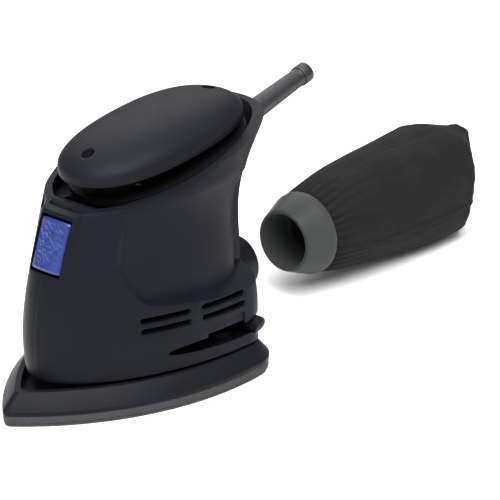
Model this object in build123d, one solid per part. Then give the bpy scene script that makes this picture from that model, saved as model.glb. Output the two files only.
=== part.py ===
from build123d import *
import os
from math import cos, pi, radians, sin, sqrt

# Corded palm detail sander with an iron-shaped pad and a pull-off dust bag.
# Millimetres. Origin on the sole at the motor axis, +Z up, the pad's point towards -X.

os.makedirs("parts", exist_ok=True)

# ---- pad outline: two side arcs that meet in a point, cut off straight at the rear ----
PAD_TIP_X = -72.0
PAD_WIDEST_X = 27.4
PAD_REAR_X = 50.0
PAD_HALF_WIDTH = 49.0
PAD_TIP_RADIUS = 3.1
PAD_CORNER_RADIUS = 16.4

# ---- heights of the pad stack ----
SHEET_TOP = 0.8
HOOK_TOP = 1.8
FOAM_TOP = 5.0
PLATE_TOP = 8.0
SKIRT_FOOT = 6.8
SKIRT_TOP = 13.4
SKIRT_INSET = 5.6
SKIRT_WALL = 2.4
DUST_HOLE_RADIUS = 4.0
DUST_HOLES = [(-50, 0), (-25, 15), (-25, -15), (0, 31), (0, -31), (37, 0)]
CENTRE_HOLE_RADIUS = 9.0

# ---- orbit ----
ORBIT_OFFSET = 1.0

# ---- housing shell: level height, front, rear, widest place, half width, and roundness ----
WALL = 2.8
HOUSING_FOOT = 15.0
HOUSING_LEVELS = [
    (13.0, -52.2, 48.0, 30.0, 44.0, 1.75, 4.0),
    (30.0, -53.6, 48.5, 27.0, 43.3, 1.75, 4.0),
    (44.0, -51.8, 49.0, 22.0, 41.5, 1.75, 4.0),
    (60.0, -47.6, 49.5, 16.0, 38.5, 1.75, 3.5),
    (75.0, -41.8, 51.5, 14.0, 36.5, 1.80, 3.0),
    (88.0, -35.0, 58.5, 15.0, 35.2, 1.95, 2.6),
    (100.0, -27.5, 68.5, 20.0, 34.8, 2.10, 2.4),
    (118.0, -16.0, 79.0, 26.0, 34.2, 2.20, 2.3),
]
# The grip hollow on each side follows a narrower body of the same kind.
GRIP_LEVELS = [
    (30.0, -54.8, 46.0, 20.0, 35.2, 1.75, 3.2),
    (50.0, -50.4, 46.5, 14.0, 34.4, 1.75, 3.2),
    (68.0, -45.2, 48.5, 12.0, 33.2, 1.80, 3.0),
    (80.0, -40.2, 52.5, 12.0, 33.0, 1.90, 2.8),
    (92.0, -33.6, 63.5, 15.0, 36.0, 2.00, 2.6),
    (118.0, -18.0, 82.0, 24.0, 40.0, 2.20, 2.3),
]
# The hollow stays inside both of them by the wall.
HOLLOW_LEVELS = [
    (17.6, -52.2, 48.0, 30.0, 43.9, 1.75, 4.0),
    (30.0, -53.6, 48.5, 27.0, 43.2, 1.75, 4.0),
    (45.0, -51.6, 46.4, 18.0, 34.7, 1.75, 3.2),
    (60.0, -47.6, 47.4, 14.0, 33.7, 1.75, 3.1),
    (75.0, -41.8, 50.4, 13.0, 33.0, 1.80, 2.9),
    (88.0, -35.0, 58.0, 15.0, 34.4, 1.95, 2.6),
    (100.0, -27.5, 68.5, 20.0, 34.8, 2.10, 2.4),
    (118.0, -16.0, 79.0, 26.0, 34.2, 2.20, 2.3),
]
OUTLINE_POINTS = 15

# ---- tilted planes at the top: the housing's rim, and the palm cap's lower edge above it ----
RIM_CENTRE = (22.0, 0.0, 98.5)
RIM_TILT = 13.0
CAP_CENTRE = (19.3, 0.0, 102.3)
CAP_TILT = 9.3
CAP_HALF_LENGTH = 47.6
CAP_HALF_WIDTH = 27.4
CAP_ROUNDNESS = 2.33
CAP_RISE = 14.1
CAP_LIP = 2.6
CAP_WALL = 2.4
CAP_SCREW_OFFSET = 37.0
DECK_HALF_LENGTH = 40.0
DECK_HALF_WIDTH = 20.5
DECK_DEPTH = 4.2
DECK_THICKNESS = 2.4

# ---- switch rocker in the nose ----
SWITCH_CENTRE = (-41.35, 0.0, 71.85)
SWITCH_LEAN = 20.9
SWITCH_WIDTH = 17.0
SWITCH_LENGTH = 21.8
SWITCH_GAP_SIDE = 0.35
SWITCH_GAP_END = 1.2
SWITCH_PIVOT_DEPTH = 8.0

# ---- dust port and bag ----
PORT_HEIGHT = 29.3
PORT_RADIUS = 13.5
PORT_BORE = 11.3
PORT_INNER_X = 43.2
PORT_SHOULDER_X = 51.0
PORT_RIM_X = 73.8
BAG_MOUTH_X = 106.0
FABRIC = 1.2

# ---- cord boot ----
BOOT_START = (67.5, 0.0, 95.4)
BOOT_RISE = 15.6
BOOT_LENGTH = 56.0
CABLE_RADIUS = 3.2

# ---- motor ----
SHAFT_RADIUS = 4.0
TOP_SHAFT_RADIUS = 3.5
BEARING_RADIUS = 11.0
TOP_BEARING_RADIUS = 9.5
STATOR_RADIUS = 23.0
ARMATURE_RADIUS = 13.5
COMMUTATOR_RADIUS = 9.0
BRUSH_HEIGHT = 74.6
CORE_LOW = 48.0
CORE_HIGH = 66.0
UPPER_BEARING_LOW = 79.4
FAN_RADIUS = 25.0
BRACKET_FLOOR = 33.5
SCREW_RADIUS = 1.5
SCREW_HEAD_RADIUS = 2.9
# each case screw's place, and how far its boss reaches out into the wall
CASE_SCREWS = [(-42, 26), (-28, 83), (40, 54), (38, 22), (44, 83)]
BOSS_REACH = 50.0
PANEL_DEPTH = 0.7
POST_PLACES = [(-40, 0), (27, 30), (27, -30)]


def save(name, shape):
    solids = shape.solids()
    body = solids[0] if len(solids) == 1 else Compound(children=list(solids))
    body.label = name
    export_step(body, f"parts/{name}.step")


def tube(outer, inner, low, high, centre=(0, 0)):
    """A ring about a vertical axis."""
    place = Pos(centre[0], centre[1], low)
    ring = Cylinder(outer, high - low, align=(Align.CENTER, Align.CENTER, Align.MIN))
    if inner > 0:
        ring -= Cylinder(inner, high - low, align=(Align.CENTER, Align.CENTER, Align.MIN))
    return place * ring


def rod(radius, start, end, hole=0.0):
    """A round bar between two points."""
    line = Vector(*end) - Vector(*start)
    plane = Plane(origin=start, z_dir=line)
    profile = plane * Circle(radius)
    if hole > 0:
        profile -= plane * Circle(hole)
    return extrude(profile, amount=line.length, dir=line.normalized())


def block(low, high):
    size = [b - a for a, b in zip(low, high)]
    middle = [(a + b) / 2 for a, b in zip(low, high)]
    return Pos(*middle) * Box(*size)


def outline(level, inset=0.0):
    """Half of one housing section, Y >= 0, rounder or sharper by its two powers."""
    height, front, rear, widest, half, front_power, rear_power = level
    half -= inset
    points = []
    for step in range(OUTLINE_POINTS):
        angle = pi * step / (OUTLINE_POINTS - 1)
        ahead = cos(angle) < 0
        reach = widest - front - inset if ahead else rear - widest - inset
        power = front_power if ahead else rear_power
        along = abs(cos(angle)) / reach
        across = abs(sin(angle)) / half
        radius = (along**power + across**power) ** (-1 / power)
        points.append((widest + radius * cos(angle), radius * sin(angle), height))
    curve = Spline(*points, tangents=[(0, 1, 0), (0, -1, 0)])
    return Face(Wire([curve, Line(points[-1], points[0])]))


def shell_body(levels, inset=0.0):
    return loft([outline(level, inset) for level in levels])


def pad_outline(inset, height, tip_radius, corner_radius):
    """The pad's outline, set in by a distance, as a face at a height."""
    reach = PAD_WIDEST_X - PAD_TIP_X
    arc_radius = (reach**2 + PAD_HALF_WIDTH**2) / (2 * PAD_HALF_WIDTH)
    off_axis = arc_radius - PAD_HALF_WIDTH
    sketch = Pos(PAD_WIDEST_X, -off_axis) * Circle(arc_radius - inset)
    sketch &= Pos(PAD_WIDEST_X, off_axis) * Circle(arc_radius - inset)
    rear = PAD_REAR_X - inset
    sketch &= Pos(rear - 200, 0) * Rectangle(400, 400)
    corners = sketch.vertices().sort_by(Axis.X)
    sketch = fillet(corners[0], tip_radius)
    corners = sketch.vertices().sort_by(Axis.X)[-2:]
    sketch = fillet(corners, corner_radius)
    return Pos(0, 0, height) * sketch


def drilled(shape, places, radius, low, high):
    for x, y in places:
        shape -= tube(radius, 0, low, high, (x, y))
    return shape


def tilted(centre, tilt):
    """A plane whose local Z is the normal of a face that rises towards the rear."""
    lean = radians(tilt)
    return Plane(origin=centre, x_dir=(cos(lean), 0, sin(lean)), z_dir=(-sin(lean), 0, cos(lean)))


RIM = tilted(RIM_CENTRE, RIM_TILT)
CAP = tilted(CAP_CENTRE, CAP_TILT)
SWITCH = Plane(
    origin=SWITCH_CENTRE,
    x_dir=(0, 1, 0),
    z_dir=(-cos(radians(SWITCH_LEAN)), 0, sin(radians(SWITCH_LEAN))),
)
BOOT_AXIS = Vector(cos(radians(BOOT_RISE)), 0, sin(radians(BOOT_RISE)))


def boot_point(distance):
    start = Vector(*BOOT_START)
    return tuple(start + BOOT_AXIS * distance)


# ---------------------------------------------------------------- pad and platen

def make_pad():
    places = DUST_HOLES
    sheet = extrude(pad_outline(0.8, 0, PAD_TIP_RADIUS, PAD_CORNER_RADIUS), SHEET_TOP, dir=(0, 0, 1))
    save("sanding_sheet", drilled(sheet, places, DUST_HOLE_RADIUS, 0, SHEET_TOP))

    hook = extrude(
        pad_outline(0.5, SHEET_TOP, PAD_TIP_RADIUS, PAD_CORNER_RADIUS), HOOK_TOP - SHEET_TOP, dir=(0, 0, 1)
    )
    hook = drilled(hook, places, DUST_HOLE_RADIUS, SHEET_TOP, HOOK_TOP)
    hook -= tube(CENTRE_HOLE_RADIUS, 0, SHEET_TOP, HOOK_TOP, (ORBIT_OFFSET, 0))
    save("hook_layer", hook)

    foam = extrude(
        pad_outline(0.2, HOOK_TOP, PAD_TIP_RADIUS, PAD_CORNER_RADIUS), FOAM_TOP - HOOK_TOP, dir=(0, 0, 1)
    )
    foam = drilled(foam, places, DUST_HOLE_RADIUS, HOOK_TOP, FOAM_TOP)
    foam -= tube(CENTRE_HOLE_RADIUS, 0, HOOK_TOP, FOAM_TOP, (ORBIT_OFFSET, 0))
    save("foam_pad", foam)

    plate = extrude(pad_outline(0, FOAM_TOP, PAD_TIP_RADIUS, PAD_CORNER_RADIUS), SKIRT_FOOT - FOAM_TOP,
                    dir=(0, 0, 1))
    slope_foot = pad_outline(0, SKIRT_FOOT, PAD_TIP_RADIUS, PAD_CORNER_RADIUS)
    slope_head = pad_outline(SKIRT_INSET, SKIRT_TOP, PAD_TIP_RADIUS, PAD_CORNER_RADIUS - SKIRT_INSET)
    plate += loft([slope_foot.faces()[0], slope_head.faces()[0]], ruled=True)
    hollow_foot = pad_outline(SKIRT_WALL + 1.0, PLATE_TOP, PAD_TIP_RADIUS, PAD_CORNER_RADIUS - SKIRT_WALL)
    hollow_head = pad_outline(
        SKIRT_WALL + SKIRT_INSET, SKIRT_TOP, PAD_TIP_RADIUS, PAD_CORNER_RADIUS - SKIRT_INSET - SKIRT_WALL
    )
    plate -= loft([hollow_foot.faces()[0], hollow_head.faces()[0]], ruled=True)
    plate += tube(14.0, 0, FOAM_TOP + 1, 16.0, (ORBIT_OFFSET, 0))
    for place in POST_PLACES:
        plate += tube(8.0, 6.3, PLATE_TOP - 0.5, 11.6, place)
    plate -= tube(BEARING_RADIUS, 0, 9.0, 16.0, (ORBIT_OFFSET, 0))
    plate -= tube(CENTRE_HOLE_RADIUS, 0, FOAM_TOP, 9.0, (ORBIT_OFFSET, 0))
    save("platen", drilled(plate, places, DUST_HOLE_RADIUS, FOAM_TOP, PLATE_TOP))


def make_bearing(name, centre, low, outer, inner, width):
    """Outer and inner rings with a running gap where the balls are."""
    lip = (outer - inner) * 0.32
    save(f"{name}_outer_ring", tube(outer, outer - lip, low, low + width, centre))
    save(f"{name}_inner_ring", tube(inner + lip, inner, low, low + width, centre))


# ---------------------------------------------------------------- motor

def make_rotor():
    shaft = tube(SHAFT_RADIUS, 0, 16.6, 78.6)
    shaft += tube(TOP_SHAFT_RADIUS, 0, 78.6, 87.0)
    shaft += tube(6.5, 0, 16.6, 18.6)
    shaft += tube(SHAFT_RADIUS, 0, 9.0, 17.0, (ORBIT_OFFSET, 0))
    shaft -= tube(2.1, 0, 9.0, 15.0, (ORBIT_OFFSET, 0))
    save("motor_shaft", shaft)

    save("retaining_washer", tube(6.6, 2.6, 7.8, 9.0, (ORBIT_OFFSET, 0)))
    screw = tube(4.4, 0, 5.2, 7.8, (ORBIT_OFFSET, 0)) + tube(2.1, 0, 7.8, 14.5, (ORBIT_OFFSET, 0))
    screw -= Pos(ORBIT_OFFSET, 0, 5.2) * extrude(RegularPolygon(2.2, 6), 1.4)
    save("retaining_screw", screw)

    weight = tube(20.0, 0, 18.6, 22.6) & block((-21, -21, 18), (0.5, 21, 23))
    weight += tube(8.5, 0, 18.6, 22.6)
    weight -= tube(SHAFT_RADIUS, 0, 18, 23)
    save("counterweight", weight)

    fan = tube(FAN_RADIUS, SHAFT_RADIUS, 24.4, 26.0) + tube(7.5, SHAFT_RADIUS, 22.8, 30.6)
    for turn in range(12):
        blade = block((7.0, -0.7, 25.5), (FAN_RADIUS - 1.0, 0.7, 30.6))
        fan += Rot(0, 0, 30 * turn) * blade
        fan += Rot(0, 0, 30 * turn + 15) * block((20.8, -0.7, 22.8), (FAN_RADIUS - 1.0, 0.7, 25.0))
    save("motor_fan", fan)

    core = tube(ARMATURE_RADIUS, SHAFT_RADIUS, CORE_LOW, CORE_HIGH)
    for turn in range(12):
        slot = Rot(0, 0, 30 * turn) * block((8.5, -0.9, 47), (ARMATURE_RADIUS + 1, 0.9, 71))
        core -= slot
    save("armature_core", core)

    coils = None
    for low, high in ((CORE_LOW - 4.0, CORE_LOW), (CORE_HIGH, CORE_HIGH + 4.0)):
        coil = tube(9.0, SHAFT_RADIUS, low, high) + Pos(0, 0, (low + high) / 2) * Torus(9.2, 1.98)
        coils = coil if coils is None else coils + coil
    save("armature_windings", coils)

    commutator = tube(COMMUTATOR_RADIUS, SHAFT_RADIUS, 71.0, 78.4)
    for turn in range(24):
        commutator -= Rot(0, 0, 15 * turn) * block((COMMUTATOR_RADIUS - 1, -0.25, 70), (10, 0.25, 79))
    save("commutator", commutator)


def make_stator():
    stack = tube(STATOR_RADIUS, ARMATURE_RADIUS + 0.5, CORE_LOW, CORE_HIGH)
    window = tube(19.5, ARMATURE_RADIUS + 3.2, CORE_LOW, CORE_HIGH)
    for side in (-1, 1):
        low, high = sorted((side * 7, side * 20))
        stack -= window & block((-12, low, CORE_LOW), (12, high, CORE_HIGH))
        stack -= tube(1.7, 0, CORE_LOW, CORE_HIGH, (side * 20.6, 0))
    save("field_stator", stack)

    coils = None
    for side in (-1, 1):
        low, high = sorted((side * 7.5, side * 19.5))
        ring = tube(19.2, ARMATURE_RADIUS + 3.5, CORE_LOW - 3.5, CORE_HIGH + 3.5)
        ring &= block((-11.5, low, 40), (11.5, high, 80))
        coils = ring if coils is None else coils + ring
    save("field_coils", coils)

    bolts = None
    for side in (-1, 1):
        bolt = tube(1.6, 0, 38.0, CORE_HIGH, (side * 20.6, 0))
        bolt += tube(2.8, 0, CORE_HIGH, CORE_HIGH + 2.0, (side * 20.6, 0))
        bolts = bolt if bolts is None else bolts + bolt
    save("stator_bolts", bolts)


def make_bearing_bracket():
    bracket = tube(31.0, 14.0, BRACKET_FLOOR, BRACKET_FLOOR + 2.5)
    bracket += tube(14.0, BEARING_RADIUS, BRACKET_FLOOR, 41.0)
    bracket -= tube(6.9, 0, 30, BRACKET_FLOOR)
    for turn in range(4):
        angle = radians(90 * turn + 45)
        window = tube(4.6, 0, BRACKET_FLOOR, BRACKET_FLOOR + 2.5, (20.3 * cos(angle), 20.3 * sin(angle)))
        bracket -= window
    posts = [(20.6, 0), (-20.6, 0)]
    for place in posts:
        bracket += tube(3.6, 1.6, BRACKET_FLOOR, CORE_LOW, place)
        bracket -= tube(1.6, 0, 37.9, 48, place)
    bracket = drilled(bracket, bracket_screw_places(), 1.6, BRACKET_FLOOR, BRACKET_FLOOR + 2.5)
    save("bearing_bracket", bracket)

    screws = None
    for x, y in bracket_screw_places():
        screw = tube(SCREW_RADIUS, 0, 28.0, BRACKET_FLOOR + 2.5, (x, y))
        screw += tube(2.7, 0, BRACKET_FLOOR + 2.5, BRACKET_FLOOR + 4.3, (x, y))
        screws = screw if screws is None else screws + screw
    save("bracket_screws", screws)


def bracket_screw_places():
    return [(28.6 * cos(radians(a)), 28.6 * sin(radians(a))) for a in (35, 145, 215, 325)]


def make_brush_gear():
    holders = None
    for side, label in ((-1, "left"), (1, "right")):
        near, far = sorted((side * 10.0, side * 27.0))
        holder = block((-4.4, near, BRUSH_HEIGHT - 3.9), (4.4, far, BRUSH_HEIGHT + 3.9))
        cut_near, cut_far = sorted((side * 9.0, side * 26.0))
        holder -= block((-3.4, cut_near, BRUSH_HEIGHT - 2.9), (3.4, cut_far, BRUSH_HEIGHT + 2.9))
        holders = holder if holders is None else holders + holder

        low, high = sorted((side * 9.25, side * 18.25))
        brush = block((-3.05, low, BRUSH_HEIGHT - 2.55), (3.05, high, BRUSH_HEIGHT + 2.55))
        save(f"carbon_brush_{label}", brush)

        coil = Helix(pitch=1.45, height=6.6, radius=1.9)
        wire = sweep(Plane(coil @ 0, z_dir=coil % 0) * Circle(0.3), path=coil)
        spring = Pos(0, side * 18.7, BRUSH_HEIGHT) * Rot(-90 * side, 0, 0) * wire
        save(f"brush_spring_{label}", spring)
    save("brush_holders", holders)


# ---------------------------------------------------------------- housing

def grip_border():
    """The D-shaped border of the side hollow, widening outwards."""
    with BuildSketch(Plane.XZ) as border:
        with BuildLine():
            Polyline((-17, 48.3), (90, 42.5), (90, 130), (0, 130), (-9, 92))
            ThreePointArc((-9, 92), (-27, 70), (-17, 48.3))
        make_face()
    profile = border.sketch
    corner = [v for v in profile.vertices() if abs(v.X + 17) < 0.1 and abs(v.Z - 48.3) < 0.1]
    profile = fillet(corner, 9.0)
    return extrude(Pos(0, 24.0, 0) * profile, amount=34, dir=(0, 1, 0), taper=-14)


def housing_half():
    """The half on the +Y side, before its screw holes."""
    outer = shell_body(HOUSING_LEVELS)
    outer -= grip_border() - shell_body(GRIP_LEVELS)
    outer -= [RIM * Pos(0, 0, 100) * Box(400, 400, 200), Pos(0, 0, HOUSING_FOOT - 50) * Box(400, 400, 100)]
    hollow = shell_body(HOLLOW_LEVELS, WALL)
    shell = outer - hollow

    # shelf for the lower bearing, cradle for the upper one, and screw bosses
    middle = shell_body(HOLLOW_LEVELS, WALL / 2)
    cradle = tube(80, 12.2, 80.6, 83.0) + tube(14.6, 12.2, 79.0, 86.0)
    for turn in range(6):
        angle = radians(60 * turn + 30)
        cradle -= tube(4.4, 0, 80, 84, (21.5 * cos(angle), 21.5 * sin(angle)))
    ribs = [tube(70, 26.5, BRACKET_FLOOR - 2.6, BRACKET_FLOOR), cradle]
    shell += [rib & middle for rib in ribs]
    shell += [rod(4.0, (x, 0, z), (x, BOSS_REACH, z)) & middle for x, z in CASE_SCREWS]

    window = Box(SWITCH_WIDTH + 2 * SWITCH_GAP_SIDE, SWITCH_LENGTH + 2 * SWITCH_GAP_END, 16)
    cuts = [tube(26.2, 0, 10, 30.8), SWITCH * Pos(0, 0, -1) * window]
    cuts += [tube(SCREW_RADIUS, 0, 27, BRACKET_FLOOR, place) for place in bracket_screw_places()]
    cuts += [tube(4.15, 0, 10, 18, place) for place in POST_PLACES]
    cuts.append(rod(PORT_RADIUS + 0.5, (PORT_INNER_X - 1, 0, PORT_HEIGHT), (70, 0, PORT_HEIGHT)))
    cuts.append(rod(PORT_RADIUS + 2.0, (PORT_INNER_X - 1, 0, PORT_HEIGHT), (PORT_INNER_X + 2.0, 0, PORT_HEIGHT)))
    cuts.append(rod(5.6, boot_point(-20), boot_point(14)))
    for low_x, high_x in ((-22.0, 0.6), (5.8, 30.4)):
        for height in (40.0, 35.3):
            slot = Plane.XZ * Pos((low_x + high_x) / 2, height) * SlotOverall(high_x - low_x, 2.7)
            cuts.append(extrude(Pos(0, 24, 0) * slot, amount=36, dir=(0, 1, 0)))
    panel = block((8.5, 20, 20.5), (29.5, 60, 31.3))
    cuts.append(panel - shell_body(HOUSING_LEVELS, PANEL_DEPTH))
    return shell - cuts


def make_housing():
    half = housing_half()
    pilots = [rod(SCREW_RADIUS, (x, 0, z), (x, 13.5, z)) for x, z in CASE_SCREWS]
    save("housing_left", mirror(half - pilots, about=Plane.XZ))
    passages = [rod(SCREW_RADIUS + 0.2, (x, 0, z), (x, 9.0, z)) for x, z in CASE_SCREWS]
    passages += [rod(SCREW_HEAD_RADIUS + 0.3, (x, 8.0, z), (x, 60, z)) for x, z in CASE_SCREWS]
    save("housing_right", half - passages)


def make_case_screws():
    screws = None
    for x, z in CASE_SCREWS:
        screw = rod(SCREW_RADIUS, (x, -12.5, z), (x, 8.0, z)) + rod(SCREW_HEAD_RADIUS, (x, 8.0, z), (x, 10.2, z))
        screw -= Pos(x, 9.7, z) * Box(0.7, 1.2, 4.0)
        screw -= Pos(x, 9.7, z) * Box(4.0, 1.2, 0.7)
        screws = screw if screws is None else screws + screw
    save("case_screws", screws)


# ---------------------------------------------------------------- top cap and deck

def oval(half_length, half_width, height):
    """A superellipse at a height, for the cap and the deck under it."""
    points = []
    for step in range(24):
        angle = 2 * pi * (step + 0.5) / 24
        along = abs(cos(angle)) / half_length
        across = abs(sin(angle)) / half_width
        radius = (along**CAP_ROUNDNESS + across**CAP_ROUNDNESS) ** (-1 / CAP_ROUNDNESS)
        points.append((radius * cos(angle), radius * sin(angle), height))
    return Face(Wire([Spline(*points, periodic=True)]))


def dome(inset):
    """The cap's crowned form, shrunk by a wall, on its own level base."""
    rise = CAP_RISE - CAP_LIP - inset
    base = CAP_LIP
    sections = []
    for share in (0.0, 0.3, 0.55, 0.75, 0.9, 0.975, 0.995):
        reach = sqrt(1 - share**2)
        sections.append(
            oval((CAP_HALF_LENGTH - inset) * reach, (CAP_HALF_WIDTH - inset) * reach, base + rise * share)
        )
    lower = oval(CAP_HALF_LENGTH - inset, CAP_HALF_WIDTH - inset, base)
    return loft(sections) + extrude(lower, base, dir=(0, 0, -1))


def make_cap():
    cap = dome(0) - dome(CAP_WALL)
    for offset in (-CAP_SCREW_OFFSET, CAP_SCREW_OFFSET):
        boss = Pos(offset, 0, 0) * Cylinder(5.0, 12, align=(Align.CENTER, Align.CENTER, Align.MIN))
        cap += boss & dome(0.5)
        cap -= Pos(offset, 0, 4.2) * Cylinder(2.9, 12, align=(Align.CENTER, Align.CENTER, Align.MIN))
        cap -= Pos(offset, 0, 5) * Cylinder(1.8, 12)
    save("palm_cap", CAP * cap)

    screws = None
    for offset in (-CAP_SCREW_OFFSET, CAP_SCREW_OFFSET):
        screw = Pos(offset, 0, -5.8) * Cylinder(1.5, 10.0, align=(Align.CENTER, Align.CENTER, Align.MIN))
        screw += Pos(offset, 0, 4.2) * Cylinder(2.5, 2.0, align=(Align.CENTER, Align.CENTER, Align.MIN))
        screw -= Pos(offset, 0, 5.8) * Box(3.2, 0.7, 1.2)
        screw -= Pos(offset, 0, 5.8) * Box(0.7, 3.2, 1.2)
        screws = screw if screws is None else screws + screw
    save("cap_screws", CAP * screws)


def make_deck():
    """The intake deck: a plate in the housing's mouth, a grilled wall and two posts for the cap."""
    deck = extrude(oval(44.0, 29.6, -DECK_DEPTH), DECK_THICKNESS, dir=(0, 0, 1))
    wall = extrude(oval(DECK_HALF_LENGTH, DECK_HALF_WIDTH, -DECK_DEPTH), 13.5, dir=(0, 0, 1))
    core = extrude(oval(DECK_HALF_LENGTH - 1.8, DECK_HALF_WIDTH - 1.8, -DECK_DEPTH), 14.0, dir=(0, 0, 1))
    deck = deck + wall - core
    for column in range(-5, 6):
        for row in (-0.1, 3.3):
            deck -= Pos(column * 5.6, 0, row) * Box(3.6, 80, 2.4)
    deck = RIM * deck
    posts = None
    for offset in (-CAP_SCREW_OFFSET, CAP_SCREW_OFFSET):
        post = CAP * Pos(offset, 0, -6.5) * Cylinder(4.6, 6.5, align=(Align.CENTER, Align.CENTER, Align.MIN))
        posts = post if posts is None else posts + post
    deck += posts
    for offset in (-CAP_SCREW_OFFSET, CAP_SCREW_OFFSET):
        deck -= CAP * Pos(offset, 0, -4) * Cylinder(1.5, 14)
    deck -= CAP * Pos(0, 0, 20.0) * Box(200, 200, 40)
    save("intake_deck", deck)


# ---------------------------------------------------------------- switch

def make_switch():
    crown = Pos(0, 0, -38.0) * Rot(90, 0, 0) * Cylinder(39.6, SWITCH_LENGTH)
    crown &= Pos(0, 0, -1.0) * Box(SWITCH_WIDTH, SWITCH_LENGTH, 6.0)
    crown = fillet(crown.edges().filter_by(Axis.Z), 1.2)
    inner = Pos(0, 0, -39.0) * Rot(90, 0, 0) * Cylinder(39.6, SWITCH_LENGTH)
    inner &= Pos(0, 0, -1.5) * Box(SWITCH_WIDTH - 2.0, SWITCH_LENGTH - 2.0, 7.0)
    save("switch_cover", SWITCH * (crown - inner))

    key = inner + Pos(0, 0, -6.4) * Box(6.0, 8.0, 4.0)
    key += Pos(0, 0, -SWITCH_PIVOT_DEPTH) * Rot(0, 90, 0) * Cylinder(1.5, SWITCH_WIDTH + 5.0)
    save("switch_rocker", SWITCH * key)

    body = Pos(0, 0, -13.9) * Box(15.0, 19.0, 5.2)
    for side in (-1, 1):
        body += Pos(side * 10.2, 0, -11.4) * Box(2.2, 7.0, 10.2)
        body += Pos(side * 9.0, 0, -14.2) * Box(4.0, 7.0, 4.6)
    body -= Pos(0, 0, -SWITCH_PIVOT_DEPTH) * Rot(0, 90, 0) * Cylinder(1.55, 40)
    save("switch_body", SWITCH * body)


# ---------------------------------------------------------------- dust path

def make_dust_path():
    port = rod(PORT_RADIUS, (PORT_SHOULDER_X, 0, PORT_HEIGHT), (PORT_RIM_X - 1.0, 0, PORT_HEIGHT))
    port += rod(PORT_RADIUS - 0.6, (PORT_RIM_X - 1.0, 0, PORT_HEIGHT), (PORT_RIM_X, 0, PORT_HEIGHT))
    port += rod(PORT_RADIUS + 0.4, (PORT_INNER_X, 0, PORT_HEIGHT), (PORT_SHOULDER_X, 0, PORT_HEIGHT))
    port += rod(PORT_RADIUS + 1.8, (PORT_INNER_X, 0, PORT_HEIGHT), (PORT_INNER_X + 1.8, 0, PORT_HEIGHT)) & block(
        (0, -30, 18.8), (60, 30, 38)
    )
    port -= rod(PORT_BORE, (PORT_INNER_X - 1, 0, PORT_HEIGHT), (PORT_RIM_X + 1, 0, PORT_HEIGHT))
    save("dust_port", port)


def make_support_posts():
    posts = None
    for place in POST_PLACES:
        post = tube(4.0, 0, 9.4, 20.0, place) + tube(6.0, 0, 17.7, 20.0, place)
        posts = post if posts is None else posts + post
    save("support_posts", posts)


# ---------------------------------------------------------------- cord entry

def make_cord_entry():
    boot = rod(5.4, boot_point(-17.0), boot_point(2.0))
    sleeve_start = Plane(origin=boot_point(2.0), z_dir=BOOT_AXIS)
    sleeve_end = Plane(origin=boot_point(BOOT_LENGTH - 4.0), z_dir=BOOT_AXIS)
    boot += loft([(sleeve_start * Circle(5.3)).faces()[0], (sleeve_end * Circle(4.3)).faces()[0]])
    boot += rod(4.9, boot_point(BOOT_LENGTH - 5.5), boot_point(BOOT_LENGTH))
    boot += rod(7.2, boot_point(-19.5), boot_point(-17.0))
    boot += rod(6.3, boot_point(5.0), boot_point(8.0))
    boot -= rod(CABLE_RADIUS, boot_point(-20.5), boot_point(BOOT_LENGTH + 1))
    save("cord_boot", boot)


# ---------------------------------------------------------------- dust bag

def bag_ring(distance, radius, squareness, height_share=1.0):
    """One section of the bag across its axis, rounder near the collar and squarer at the tail."""
    points = []
    for step in range(20):
        angle = 2 * pi * (step + 0.5) / 20
        reach = (abs(cos(angle)) ** squareness + abs(sin(angle) / height_share) ** squareness) ** (-1 / squareness)
        points.append((
            BAG_MOUTH_X + distance,
            radius * reach * cos(angle),
            PORT_HEIGHT + radius * reach * sin(angle),
        ))
    return Face(Wire([Spline(*points, periodic=True)]))


BAG_SECTIONS = [
    (16.4, 19.8, 2.0, 1.0),
    (20.0, 21.6, 2.0, 1.0),
    (30.0, 25.6, 2.1, 1.0),
    (50.0, 28.2, 2.3, 0.98),
    (80.0, 28.6, 2.5, 0.97),
    (112.0, 28.0, 2.7, 0.95),
    (134.0, 26.0, 2.8, 0.9),
    (143.0, 21.5, 2.8, 0.84),
]


def make_bag():
    def along(radius_low, radius_high, low, high):
        plane = Plane(origin=(BAG_MOUTH_X + low, 0, PORT_HEIGHT), z_dir=(1, 0, 0))
        end = Plane(origin=(BAG_MOUTH_X + high, 0, PORT_HEIGHT), z_dir=(1, 0, 0))
        return loft([(plane * Circle(radius_low)).faces()[0], (end * Circle(radius_high)).faces()[0]])

    collar = along(15.2, 20.6, 0, 13.5) + along(20.6, 20.6, 13.5, 16.0) + along(17.2, 17.2, 16.0, 24.0)
    collar += along(19.4, 19.4, 23.0, 26.0)
    collar -= along(PORT_RADIUS + 0.12, PORT_RADIUS + 0.12, -1, 19.5)
    collar -= along(PORT_RADIUS - 1.4, PORT_RADIUS - 1.4, 15, 30)
    save("bag_collar", collar)

    outside = loft([bag_ring(*section) for section in BAG_SECTIONS])
    inner = [(low, radius - FABRIC, square, share) for low, radius, square, share in BAG_SECTIONS[:-1]]
    low, radius, square, share = BAG_SECTIONS[-1]
    inner.append((low - 1.6, radius - FABRIC, square, share))
    inside = loft([bag_ring(*section) for section in inner])
    save("dust_bag", outside - inside)

    ring = Pos(BAG_MOUTH_X + 17.7, 0, PORT_HEIGHT) * Rot(0, 90, 0) * Torus(17.9, 0.65)
    save("bag_elastic", ring)


# ---------------------------------------------------------------- electrics

def make_electrics():
    can = block((24, -21, 58), (35, -8, 78))
    save("suppression_capacitor", fillet(can.edges().filter_by(Axis.Z), 1.2))
    terminals = block((24, 8, 60), (34, 22, 76))
    terminals -= [Pos(29, y, 76) * Cylinder(2.2, 8) for y in (11.5, 18.5)]
    save("terminal_block", terminals)


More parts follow.
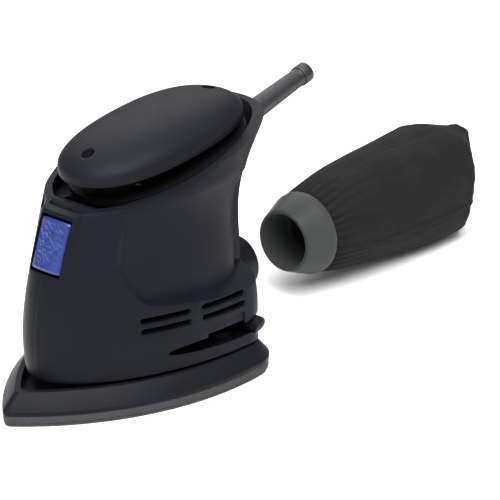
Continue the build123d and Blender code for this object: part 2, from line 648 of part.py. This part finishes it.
make_pad()
make_bearing("eccentric_bearing", (ORBIT_OFFSET, 0), 9.0, BEARING_RADIUS, SHAFT_RADIUS, 7.0)
make_bearing("lower_bearing", (0, 0), BRACKET_FLOOR + 0.4, BEARING_RADIUS, SHAFT_RADIUS, 7.0)
make_bearing("upper_bearing", (0, 0), UPPER_BEARING_LOW, TOP_BEARING_RADIUS, TOP_SHAFT_RADIUS, 6.0)
save("bearing_damper", tube(12.2, TOP_BEARING_RADIUS, UPPER_BEARING_LOW, UPPER_BEARING_LOW + 6.0))
make_rotor()
make_stator()
make_bearing_bracket()
make_brush_gear()
make_electrics()
make_support_posts()
make_switch()
make_dust_path()
make_cord_entry()
make_cap()
make_deck()
make_bag()
make_housing()
make_case_screws()
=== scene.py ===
from math import cos, exp, pi, radians, sin

import bmesh
import bpy
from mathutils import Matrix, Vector, noise


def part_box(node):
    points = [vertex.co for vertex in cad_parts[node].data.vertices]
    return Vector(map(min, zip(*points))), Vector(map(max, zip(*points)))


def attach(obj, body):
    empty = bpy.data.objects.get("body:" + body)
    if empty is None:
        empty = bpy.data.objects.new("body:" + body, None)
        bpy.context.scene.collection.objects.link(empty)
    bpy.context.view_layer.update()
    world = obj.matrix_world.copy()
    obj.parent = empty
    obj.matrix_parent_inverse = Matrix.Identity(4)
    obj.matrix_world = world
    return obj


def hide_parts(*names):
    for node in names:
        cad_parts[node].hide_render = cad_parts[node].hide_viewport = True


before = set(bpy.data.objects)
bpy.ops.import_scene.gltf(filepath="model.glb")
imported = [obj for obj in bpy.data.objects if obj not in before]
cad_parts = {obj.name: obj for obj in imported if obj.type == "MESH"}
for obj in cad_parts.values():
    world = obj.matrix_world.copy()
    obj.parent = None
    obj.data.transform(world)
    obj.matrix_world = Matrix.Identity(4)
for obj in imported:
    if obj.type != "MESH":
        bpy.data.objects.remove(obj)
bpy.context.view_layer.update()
MM = 0.001
# a mix node has sockets of the same name for numbers, vectors and colours: these are the colour ones
MIX_COLOR_A = 6
MIX_COLOR_B = 7
MIX_COLOR_RESULT = 2


# ---------------------------------------------------------------- materials

def new_material(name, color, roughness, metallic=0.0):
    material = bpy.data.materials.new(name)
    material.use_nodes = True
    nodes = material.node_tree.nodes
    shader = nodes["Principled BSDF"]
    shader.inputs["Base Color"].default_value = (*color, 1)
    shader.inputs["Roughness"].default_value = roughness
    shader.inputs["Metallic"].default_value = metallic
    return material, nodes, material.node_tree.links, shader


def object_coordinates(nodes, links, scale=(1, 1, 1)):
    place = nodes.new("ShaderNodeTexCoord")
    mapping = nodes.new("ShaderNodeMapping")
    mapping.inputs["Scale"].default_value = scale
    links.new(place.outputs["Object"], mapping.inputs["Vector"])
    return mapping.outputs["Vector"]


def noise_texture(nodes, links, vector, scale, detail=4.0):
    texture = nodes.new("ShaderNodeTexNoise")
    texture.inputs["Scale"].default_value = scale
    texture.inputs["Detail"].default_value = detail
    links.new(vector, texture.inputs["Vector"])
    return texture.outputs["Fac"]


def ramp(nodes, links, source, stops):
    node = nodes.new("ShaderNodeValToRGB")
    elements = node.color_ramp.elements
    while len(elements) < len(stops):
        elements.new(0.5)
    for element, (place, color) in zip(elements, stops):
        element.position = place
        element.color = (*color, 1) if len(color) == 3 else color
    links.new(source, node.inputs["Fac"])
    return node.outputs["Color"]


def value_range(nodes, links, source, low, high):
    node = nodes.new("ShaderNodeMapRange")
    node.inputs["To Min"].default_value = low
    node.inputs["To Max"].default_value = high
    links.new(source, node.inputs["Value"])
    return node.outputs["Result"]


def bump(nodes, links, source, distance, strength=1.0, under=None):
    node = nodes.new("ShaderNodeBump")
    node.inputs["Distance"].default_value = distance
    node.inputs["Strength"].default_value = strength
    links.new(source, node.inputs["Height"])
    if under is not None:
        links.new(under, node.inputs["Normal"])
    return node.outputs["Normal"]


def tint(color, factor):
    return tuple(min(1.0, channel * factor) for channel in color)


def moulded_plastic(name, color, roughness, grain=0.00006, grain_scale=1900.0, spread=0.16):
    """Spark-eroded plastic: a fine pitted grain, faint flow shading and rubbed patches."""
    material, nodes, links, shader = new_material(name, color, roughness)
    vector = object_coordinates(nodes, links)
    broad = noise_texture(nodes, links, vector, 28.0, 3.0)
    fine = noise_texture(nodes, links, vector, grain_scale, 2.0)
    colors = ramp(nodes, links, broad, [(0.3, tint(color, 1 - spread)), (0.72, tint(color, 1 + spread))])
    links.new(colors, shader.inputs["Base Color"])
    rubbed = noise_texture(nodes, links, vector, 90.0, 5.0)
    links.new(value_range(nodes, links, rubbed, roughness - 0.06, roughness + 0.1), shader.inputs["Roughness"])
    links.new(bump(nodes, links, fine, grain, 0.5), shader.inputs["Normal"])
    shader.inputs["Specular IOR Level"].default_value = 0.07
    return material


def rubber(name, color, roughness):
    material, nodes, links, shader = new_material(name, color, roughness)
    vector = object_coordinates(nodes, links)
    dust = noise_texture(nodes, links, vector, 240.0, 6.0)
    colors = ramp(nodes, links, dust, [(0.35, tint(color, 0.8)), (0.8, tint(color, 1.5))])
    links.new(colors, shader.inputs["Base Color"])
    links.new(bump(nodes, links, dust, 0.00005, 0.6), shader.inputs["Normal"])
    links.new(value_range(nodes, links, dust, roughness - 0.1, roughness + 0.08), shader.inputs["Roughness"])
    return material


def metal(name, color, roughness, streak=(1, 1, 60), depth=0.00002):
    """Turned, drawn or ground metal, with streaks across one direction."""
    material, nodes, links, shader = new_material(name, color, roughness, 1.0)
    vector = object_coordinates(nodes, links, streak)
    lines = noise_texture(nodes, links, vector, 60.0, 5.0)
    colors = ramp(nodes, links, lines, [(0.3, tint(color, 0.75)), (0.75, tint(color, 1.15))])
    links.new(colors, shader.inputs["Base Color"])
    links.new(value_range(nodes, links, lines, roughness - 0.08, roughness + 0.14), shader.inputs["Roughness"])
    links.new(bump(nodes, links, lines, depth, 0.5), shader.inputs["Normal"])
    return material


def wound_wire(name, color):
    material, nodes, links, shader = new_material(name, color, 0.3, 0.75)
    vector = object_coordinates(nodes, links)
    wave = nodes.new("ShaderNodeTexWave")
    wave.inputs["Scale"].default_value = 420.0
    wave.inputs["Distortion"].default_value = 1.2
    links.new(vector, wave.inputs["Vector"])
    colors = ramp(nodes, links, wave.outputs["Fac"], [(0.1, tint(color, 0.35)), (0.6, color)])
    links.new(colors, shader.inputs["Base Color"])
    links.new(bump(nodes, links, wave.outputs["Fac"], 0.0002, 0.9), shader.inputs["Normal"])
    return material


def abrasive(name, color):
    material, nodes, links, shader = new_material(name, color, 0.85)
    vector = object_coordinates(nodes, links)
    grit = nodes.new("ShaderNodeTexVoronoi")
    grit.inputs["Scale"].default_value = 2200.0
    links.new(vector, grit.inputs["Vector"])
    colors = ramp(nodes, links, grit.outputs["Distance"], [(0.1, tint(color, 1.9)), (0.7, tint(color, 0.6))])
    links.new(colors, shader.inputs["Base Color"])
    links.new(bump(nodes, links, grit.outputs["Distance"], 0.0003, 0.9), shader.inputs["Normal"])
    return material


def foam(name, color):
    material, nodes, links, shader = new_material(name, color, 0.9)
    vector = object_coordinates(nodes, links)
    cells = nodes.new("ShaderNodeTexVoronoi")
    cells.inputs["Scale"].default_value = 1300.0
    links.new(vector, cells.inputs["Vector"])
    colors = ramp(nodes, links, cells.outputs["Distance"], [(0.0, tint(color, 0.6)), (0.6, tint(color, 1.4))])
    links.new(colors, shader.inputs["Base Color"])
    links.new(bump(nodes, links, cells.outputs["Distance"], 0.00025, 0.8), shader.inputs["Normal"])
    return material


def twill(name, color, pitch=0.75):
    """A diagonal twill in the piece's own UV, which is in metres, over a slub and lint variation."""
    material, nodes, links, shader = new_material(name, color, 0.82)
    uv = nodes.new("ShaderNodeUVMap")
    mapping = nodes.new("ShaderNodeMapping")
    mapping.inputs["Rotation"].default_value = (0, 0, radians(52))
    links.new(uv.outputs["UV"], mapping.inputs["Vector"])
    ribs = nodes.new("ShaderNodeTexWave")
    ribs.inputs["Scale"].default_value = 0.314 / (pitch * MM)
    ribs.inputs["Distortion"].default_value = 0.4
    ribs.inputs["Detail Scale"].default_value = 3.0
    links.new(mapping.outputs["Vector"], ribs.inputs["Vector"])
    slub = noise_texture(nodes, links, uv.outputs["UV"], 900.0, 5.0)
    lint = noise_texture(nodes, links, uv.outputs["UV"], 60.0, 6.0)
    shade = ramp(nodes, links, lint, [(0.3, tint(color, 0.78)), (0.75, tint(color, 1.3))])
    blend = nodes.new("ShaderNodeMix")
    blend.data_type = "RGBA"
    blend.blend_type = "MULTIPLY"
    blend.inputs["Factor"].default_value = 0.6
    rib_shade = ramp(nodes, links, ribs.outputs["Fac"], [(0.1, (0.55, 0.55, 0.55)), (0.7, (1.25, 1.25, 1.22))])
    links.new(shade, blend.inputs[MIX_COLOR_A])
    links.new(rib_shade, blend.inputs[MIX_COLOR_B])
    links.new(blend.outputs[MIX_COLOR_RESULT], shader.inputs["Base Color"])
    coarse = bump(nodes, links, ribs.outputs["Fac"], 0.00018, 0.7)
    links.new(bump(nodes, links, slub, 0.00012, 0.6, coarse), shader.inputs["Normal"])
    shader.inputs["Sheen Weight"].default_value = 0.008
    shader.inputs["Sheen Roughness"].default_value = 0.5
    shader.inputs["Specular IOR Level"].default_value = 0.1
    return material


MATERIALS = {
    "body": moulded_plastic("body_plastic", (0.0042, 0.0047, 0.0078), 0.44),
    "cap": moulded_plastic("cap_plastic", (0.0058, 0.0062, 0.0088), 0.46, 0.00008),
    "inner": moulded_plastic("inner_plastic", (0.003, 0.003, 0.0035), 0.5),
    "port": moulded_plastic("port_plastic", (0.0045, 0.005, 0.0075), 0.4),
    "base": moulded_plastic("base_plastic", (0.0048, 0.0052, 0.0075), 0.44, 0.00008),
    "collar": moulded_plastic("collar_plastic", (0.034, 0.036, 0.036), 0.36, 0.00003),
    "fan": moulded_plastic("fan_plastic", (0.03, 0.03, 0.032), 0.45),
    "pale": moulded_plastic("terminal_plastic", (0.62, 0.6, 0.55), 0.4),
    "yellow": moulded_plastic("capacitor_case", (0.55, 0.38, 0.05), 0.25),
    "rubber": rubber("boot_rubber", (0.006, 0.006, 0.008), 0.5),
    "foam": foam("pad_foam", (0.018, 0.018, 0.02)),
    "hook": foam("hook_fabric", (0.014, 0.014, 0.015)),
    "grit": abrasive("abrasive_paper", (0.075, 0.045, 0.028)),
    "steel": metal("ground_steel", (0.42, 0.42, 0.44), 0.3),
    "lamination": metal("lamination_steel", (0.2, 0.2, 0.22), 0.42, (1, 1, 220), 0.00008),
    "black_steel": metal("black_screw_steel", (0.035, 0.035, 0.04), 0.38),
    "iron": metal("cast_iron", (0.15, 0.15, 0.16), 0.6, (3, 3, 3), 0.0002),
    "aluminium": metal("cast_aluminium", (0.55, 0.56, 0.58), 0.45, (3, 3, 3), 0.0001),
    "brass": metal("brass", (0.6, 0.42, 0.16), 0.3),
    "copper": metal("copper_bars", (0.6, 0.28, 0.14), 0.3),
    "wire": wound_wire("copper_wire", (0.5, 0.17, 0.05)),
    "carbon": rubber("brush_carbon", (0.02, 0.02, 0.021), 0.55),
    "fabric": twill("bag_fabric", (0.0068, 0.0074, 0.0068)),
}
NODE_MATERIALS = {
    "body": ["housing_left", "housing_right"],
    "cap": ["palm_cap"],
    "inner": ["intake_deck", "switch_body", "switch_rocker"],
    "port": ["dust_port"],
    "base": ["platen"],
    "collar": ["bag_collar"],
    "fan": ["motor_fan"],
    "pale": ["terminal_block"],
    "yellow": ["suppression_capacitor"],
    "rubber": ["cord_boot", "support_posts", "bearing_damper", "bag_elastic"],
    "foam": ["foam_pad"],
    "hook": ["hook_layer"],
    "grit": ["sanding_sheet"],
    "lamination": ["field_stator", "armature_core"],
    "iron": ["counterweight"],
    "aluminium": ["bearing_bracket"],
    "brass": ["brush_holders"],
    "copper": ["commutator"],
    "wire": ["field_coils", "armature_windings"],
    "carbon": ["carbon_brush_left", "carbon_brush_right"],
    "black_steel": ["case_screws", "cap_screws", "stator_bolts", "bracket_screws"],
}


def dress_frame():
    """Every carried-over node gets its material; the outer shells get softened edges."""
    chosen = {node: key for key, names in NODE_MATERIALS.items() for node in names}
    for name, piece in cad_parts.items():
        material = MATERIALS[chosen.get(name, "steel")]
        if not piece.material_slots:
            piece.data.materials.append(material)
        for slot in piece.material_slots:
            slot.link = "OBJECT"
            slot.material = material
    for name, width in (("housing_left", 0.35), ("housing_right", 0.35), ("palm_cap", 0.7), ("platen", 0.5),
                        ("foam_pad", 0.3), ("dust_port", 0.4), ("bag_collar", 0.4), ("cord_boot", 0.4)):
        soften_edges(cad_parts[name], width * MM)


def soften_edges(piece, width):
    weld = piece.modifiers.new("weld", "WELD")
    weld.merge_threshold = 0.00001
    bevel = piece.modifiers.new("edges", "BEVEL")
    bevel.width = width
    bevel.segments = 2
    bevel.limit_method = "ANGLE"
    bevel.angle_limit = radians(32)
    bevel.harden_normals = False


# ---------------------------------------------------------------- dust bag

BAG_LOW, BAG_HIGH = (Vector(corner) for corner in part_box("dust_bag"))
BAG_AXIS_Z = (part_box("bag_collar")[0][2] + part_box("bag_collar")[1][2]) / 2
BAG_LENGTH = BAG_HIGH.x - BAG_LOW.x
BAG_RADIUS = (BAG_HIGH.y - BAG_LOW.y) / 2
HEM_RADIUS = 20.4 * MM
SEAM_ANGLE = radians(196)
PLEATS = 34
CLOTH_THICKNESS = 0.7 * MM
STITCH_RADIUS = 0.28 * MM
STITCHES = 62


def smooth_step(low, high, value):
    share = min(1.0, max(0.0, (value - low) / (high - low)))
    return share * share * (3 - 2 * share)


def add_piece(name, mesh, material, body):
    """Turns a bmesh into an object that rides a CAD body and takes a material slot's finish."""
    data = bpy.data.meshes.new(name)
    mesh.to_mesh(data)
    mesh.free()
    piece = bpy.data.objects.new(name, data)
    bpy.context.scene.collection.objects.link(piece)
    data.materials.append(MATERIALS[material])
    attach(piece, body)
    return piece


def bag_point(along, around):
    """The sewn bag: gathered on the collar, full in the middle, folded flat at the tail."""
    angle = 2 * pi * around
    swell = 1 - exp(-5.2 * along)
    radius = HEM_RADIUS + (BAG_RADIUS - HEM_RADIUS) * swell / (1 - exp(-5.2 * 0.6))
    radius = min(radius, BAG_RADIUS * 1.01)
    square = 2.0 + 1.1 * smooth_step(0.25, 0.9, along)
    across = (abs(cos(angle)) ** square + abs(sin(angle)) ** square) ** (-1 / square)
    tail = smooth_step(0.80, 1.0, along)
    side = radius * across * cos(angle) * (1 - 0.62 * tail)
    height = radius * across * sin(angle) * (1 - 0.16 * tail)
    # radial pleats fade out from the collar, long slack folds run over the rest
    fade = exp(-9.0 * along)
    wander = noise.noise(Vector((cos(angle) * 1.5, sin(angle) * 1.5, along * 3.0)))
    pleat = abs(sin(angle * PLEATS / 2 + 2.6 * wander)) - 0.5
    drape = noise.noise(Vector((cos(angle) * 1.7, sin(angle) * 1.7, along * 2.2 + 4.0)))
    crease = noise.noise(Vector((cos(angle) * 4.2 + 9.0, sin(angle) * 4.2, along * 5.5)))
    lift = 1.5 * MM * fade * pleat + 1.5 * MM * (1 - fade) * drape - 0.9 * MM * (1 - fade) * abs(crease)
    lift -= 0.7 * MM
    seam = exp(-(((angle - SEAM_ANGLE) / 0.035) ** 2))
    lift += 0.9 * MM * seam * smooth_step(0.04, 0.12, along)
    side += lift * cos(angle)
    height += lift * sin(angle)
    sag = -0.15 * MM * sin(pi * along)
    reach = BAG_LOW.x + BAG_LENGTH * along
    corner = smooth_step(0.86, 1.0, along) * abs(sin(angle)) ** 3
    reach += 1.2 * MM * crease * tail + 1.0 * MM * corner
    return Vector((reach, side, BAG_AXIS_Z + height + sag))


def make_bag():
    rows, columns = 150, 300
    mesh = bmesh.new()
    layer = mesh.loops.layers.uv.new("UVMap")
    rings = [[mesh.verts.new(bag_point(row / rows, column / columns)) for column in range(columns)]
             for row in range(rows + 1)]
    girth = 2 * pi * BAG_RADIUS
    for row in range(rows):
        for column in range(columns):
            after = (column + 1) % columns
            face = mesh.faces.new((rings[row][column], rings[row][after], rings[row + 1][after],
                                   rings[row + 1][column]))
            face.smooth = True
            for loop, (r, c) in zip(face.loops, ((row, column), (row, column + 1), (row + 1, column + 1),
                                                 (row + 1, column))):
                loop[layer].uv = (r / rows * BAG_LENGTH, c / columns * girth)
    # the tail: rings that shrink to the middle close the bag with a shallow pucker
    last = rings[-1]
    middle = sum((vert.co for vert in last), Vector()) / columns
    for share in (0.92, 0.75, 0.5, 0.25):
        ring = []
        for vert in rings[-1]:
            spot = middle + (vert.co - middle) * share
            spot.x += 2.2 * MM * (1 - share) ** 0.5 - 1.0 * MM * (1 - share)
            ring.append(mesh.verts.new(spot))
        for column in range(columns):
            after = (column + 1) % columns
            face = mesh.faces.new((last[column], last[after], ring[after], ring[column]))
            face.smooth = True
            for loop in face.loops:
                loop[layer].uv = (loop.vert.co.z, loop.vert.co.y)
        last = ring
    cap = mesh.verts.new(middle + Vector((1.2 * MM, 0, 0)))
    for column in range(columns):
        face = mesh.faces.new((last[column], last[(column + 1) % columns], cap))
        face.smooth = True
        for loop in face.loops:
            loop[layer].uv = (loop.vert.co.z, loop.vert.co.y)
    bmesh.ops.recalc_face_normals(mesh, faces=mesh.faces)
    piece = add_piece("dust_bag_cloth", mesh, "fabric", "bag")
    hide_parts("dust_bag")
    solid = piece.modifiers.new("cloth", "SOLIDIFY")
    solid.thickness = CLOTH_THICKNESS
    solid.offset = -1


def make_bag_stitching():
    """Two rows of thread beside the seam, one dash after another."""
    mesh = bmesh.new()
    for side in (-0.055, 0.055):
        for stitch in range(STITCHES):
            start = 0.10 + stitch * 0.0138
            ends = [bag_point(start + step, SEAM_ANGLE / (2 * pi) + side / (2 * pi)) for step in (0, 0.009)]
            axis = Vector((0, 0, BAG_AXIS_Z))
            out = (ends[0] - Vector((ends[0].x, axis.y, axis.z))).normalized()
            made = bmesh.ops.create_icosphere(mesh, subdivisions=1, radius=STITCH_RADIUS)["verts"]
            middle = (ends[0] + ends[1]) / 2 + out * 0.12 * MM
            run = ends[1] - ends[0]
            length = run.length
            run.normalize()
            for vert in made:
                local = vert.co
                along = run * (local.x * length / (2 * STITCH_RADIUS))
                vert.co = middle + along + out * local.z * 0.7 + run.cross(out) * local.y
    for face in mesh.faces:
        face.smooth = True
    add_piece("bag_stitching", mesh, "thread", "bag")


# ---------------------------------------------------------------- switch cover

SWITCH_LEAN = radians(20.9)
COVER_DEPTH = 5.6 * MM


def make_switch_cover():
    """A soft crowned cover with slack creases where it is pressed, lapping round the rocker's edges."""
    low, high = (Vector(corner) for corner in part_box("switch_cover"))
    width = high.y - low.y
    outward = Vector((-cos(SWITCH_LEAN), 0, sin(SWITCH_LEAN)))
    upward = Vector((sin(SWITCH_LEAN), 0, cos(SWITCH_LEAN)))
    # the cover's length comes back out of its leaning box
    depth = COVER_DEPTH
    length = (high.z - low.z - depth * sin(SWITCH_LEAN)) / cos(SWITCH_LEAN)
    middle = (low + high) / 2
    rows, columns = 90, 70
    mesh = bmesh.new()
    rim = 5
    grid = []
    for row in range(-rim, rows + rim + 1):
        line = []
        for column in range(-rim, columns + rim + 1):
            u = min(1.0, max(0.0, column / columns)) * 2 - 1
            v = min(1.0, max(0.0, row / rows)) * 2 - 1
            over = max(-row, row - rows, -column, column - columns, 0) / rim
            corner = 1 - 0.03 * (abs(u) ** 8) * (abs(v) ** 8)
            edge = max(abs(u), abs(v))
            roll = smooth_step(0.9, 1.0, edge)
            crown = 1.5 * MM * (1 - u * u) - 0.5 * MM * roll
            fold = noise.noise(Vector((u * 2.2 + v * 1.5, v * 4.4 - u * 2.4, 1.7)))
            fine = noise.noise(Vector((u * 5.0 - v * 2.0, v * 9.0 + u * 3.0, 6.1)))
            slack = (1 - abs(u) ** 4) * (1 - abs(v) ** 4)
            crown -= slack * (0.62 * MM * abs(fold) + 0.25 * MM * abs(fine) + 0.25 * MM)
            out = crown - over * 2.2 * MM
            line.append(mesh.verts.new((u * width / 2 * corner, v * length / 2 * corner, out)))
        grid.append(line)
    for row in range(len(grid) - 1):
        for column in range(len(grid[0]) - 1):
            face = mesh.faces.new((grid[row][column], grid[row][column + 1], grid[row + 1][column + 1],
                                   grid[row + 1][column]))
            face.smooth = True
    top = max(vert.co.z for vert in mesh.verts)
    reach = depth / 2
    for vert in mesh.verts:
        across, along, out = vert.co
        out = out - top + reach
        vert.co = middle + Vector((0, across, 0)) + upward * along + outward * out
    bmesh.ops.remove_doubles(mesh, verts=mesh.verts, dist=0.000001)
    bmesh.ops.recalc_face_normals(mesh, faces=mesh.faces)
    piece = add_piece("switch_cover_skin", mesh, "switch", "switch")
    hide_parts("switch_cover")


# ---------------------------------------------------------------- stage, light and camera

CAMERA_TURN = radians(48.5)
CAMERA_RISE = radians(22.2)
CAMERA_DISTANCE = 0.8
CAMERA_TARGET = Vector((0.082, 0.0, 0.0322))
PIXELS_PER_METRE = 2130.0
FRAME_PIXELS = 500
SENSOR = 36.0
FLOOR_HALF = 4.0
WORLD_STRENGTH = 0.42


def make_camera():
    bpy.context.scene.view_settings.view_transform = "Standard"
    data = bpy.data.cameras.new("camera")
    data.sensor_width = SENSOR
    data.lens = PIXELS_PER_METRE * CAMERA_DISTANCE * SENSOR / FRAME_PIXELS
    data.clip_start = 0.01
    camera = bpy.data.objects.new("camera", data)
    bpy.context.scene.collection.objects.link(camera)
    level = cos(CAMERA_RISE)
    back = Vector((-sin(CAMERA_TURN) * level, -cos(CAMERA_TURN) * level, sin(CAMERA_RISE)))
    camera.location = CAMERA_TARGET + back * CAMERA_DISTANCE
    camera.rotation_euler = (-back).to_track_quat("-Z", "Y").to_euler()
    bpy.context.scene.camera = camera


def area_light(name, place, size, power, target=(0.05, 0, 0.06)):
    data = bpy.data.lights.new(name, "AREA")
    data.shape = "RECTANGLE"
    data.size, data.size_y = size
    data.energy = power
    light = bpy.data.objects.new(name, data)
    light.location = place
    light.rotation_euler = (Vector(target) - Vector(place)).to_track_quat("-Z", "Y").to_euler()
    bpy.context.scene.collection.objects.link(light)


def make_stage():
    material, nodes, links, shader = new_material("paper_floor", (0.93, 0.93, 0.93), 0.9)
    vector = object_coordinates(nodes, links)
    paper = noise_texture(nodes, links, vector, 40.0, 4.0)
    colors = ramp(nodes, links, paper, [(0.3, (0.92, 0.92, 0.92)), (0.7, (0.94, 0.94, 0.94))])
    links.new(colors, shader.inputs["Base Color"])
    data = bpy.data.meshes.new("floor")
    half = FLOOR_HALF
    corners = [(-half, -half, 0), (half, -half, 0), (half, half, 0), (-half, half, 0)]
    data.from_pydata(corners, [], [(0, 1, 2, 3)])
    floor = bpy.data.objects.new("floor", data)
    floor.location.z = -0.0002
    bpy.context.scene.collection.objects.link(floor)
    data.materials.append(material)

    world = bpy.data.worlds.new("studio")
    bpy.context.scene.world = world
    world.use_nodes = True
    world.node_tree.nodes["Background"].inputs["Color"].default_value = (1, 1, 1, 1)
    world.node_tree.nodes["Background"].inputs["Strength"].default_value = WORLD_STRENGTH
    area_light("key", (-0.35, -0.35, 1.1), (1.2, 1.2), 46.0)
    area_light("rear", (0.6, 0.7, 1.0), (1.0, 1.0), 8.0)
    area_light("left", (-0.9, 0.3, 0.4), (0.5, 0.8), 1.0)


def blue_cover_material():
    """Soft vinyl: saturated blue, glossy on the creases."""
    color = (0.0045, 0.016, 0.115)
    material, nodes, links, shader = new_material("switch_blue", color, 0.32)
    vector = object_coordinates(nodes, links)
    cloud = noise_texture(nodes, links, vector, 180.0, 4.0)
    colors = ramp(nodes, links, cloud, [(0.3, tint(color, 0.7)), (0.75, tint(color, 1.35))])
    links.new(colors, shader.inputs["Base Color"])
    ripple = noise_texture(nodes, links, vector, 260.0, 2.0)
    links.new(bump(nodes, links, ripple, 0.00008, 0.3), shader.inputs["Normal"])
    return material


MATERIALS["switch"] = blue_cover_material()
MATERIALS["thread"] = twill("thread", (0.016, 0.017, 0.016), 0.4)
dress_frame()
make_bag()
make_bag_stitching()
make_switch_cover()
make_stage()
make_camera()
